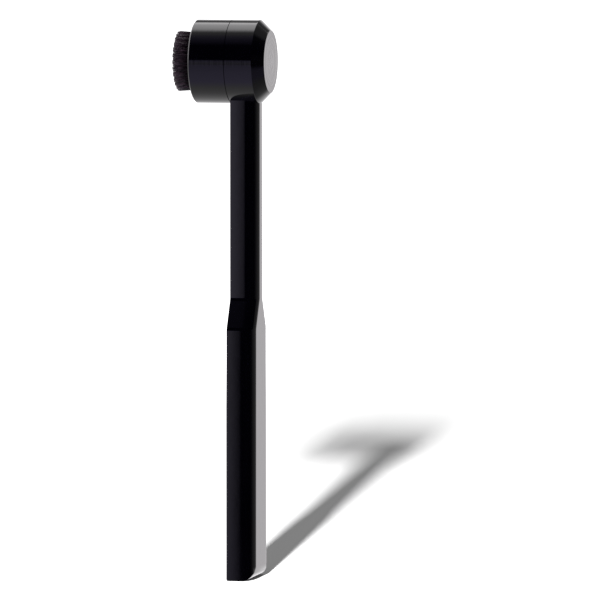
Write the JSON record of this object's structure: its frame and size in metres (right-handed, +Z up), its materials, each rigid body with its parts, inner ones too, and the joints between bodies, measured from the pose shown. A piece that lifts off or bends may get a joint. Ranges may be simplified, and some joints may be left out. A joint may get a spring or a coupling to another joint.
{
  "type": "round-head hand brush",
  "caption": "Hammer-shaped hand brush: flat bar handle with a narrow neck, and a cylindrical head whose front collar unscrews with a dense, flat-cut disc of short dark bristles.",
  "frame": {"origin": "on the flat foot of the handle, in the middle of the bar's thickness and width", "axes": "+Z up along the handle to the head; +X along the head's axis towards its plain back disc, so the bristles point along -X; +Y across the handle's width"},
  "size_m": [0.034, 0.03, 0.201],
  "materials": {
    "handle_gloss_black": "gloss",
    "head_gloss_black": "gloss",
    "collar_gloss_black": "gloss",
    "core_black": "matte",
    "bristle_dark": "satin",
    "fastener_steel": "satin",
    "spring_steel": "satin",
    "insert_brass": "satin",
    "anchor_brass": "satin",
    "seal_rubber": "matte",
    "washer_nylon": "satin"
  },
  "bodies": {
    "handle_and_head": {"handle_bar": "handle_gloss_black", "neck_insert": "insert_brass", "neck_screw": "fastener_steel", "lock_washer": "fastener_steel", "locating_pins": "fastener_steel", "head_housing": "head_gloss_black", "collar_o_ring": "seal_rubber", "key_pin": "fastener_steel"},
    "brush_cartridge": {"brush_core": "core_black", "tuft_anchors": "anchor_brass", "bristle_tuft_centre": "bristle_dark", "bristle_ring_1": "bristle_dark", "bristle_ring_2": "bristle_dark", "bristle_ring_3": "bristle_dark", "bristle_ring_4": "bristle_dark"},
    "collar": {"front_collar": "collar_gloss_black", "retaining_ring": "spring_steel", "thrust_washer": "washer_nylon"}
  },
  "joints": [
    {"name": "cartridge_travel", "type": "slide", "parent": "handle_and_head", "child": "brush_cartridge", "axis": [-1, 0, 0], "range_m": [0, 0.006]},
    {"name": "collar_turn", "type": "hinge", "parent": "brush_cartridge", "child": "collar", "pos_m": [-0.0155, 0, 0.186], "axis": [-1, 0, 0], "range_deg": [0, 1440]}
  ],
  "couplings": [
    {"joint": "cartridge_travel", "follows": "collar_turn", "m_per_rad": 0.0002387}
  ]
}
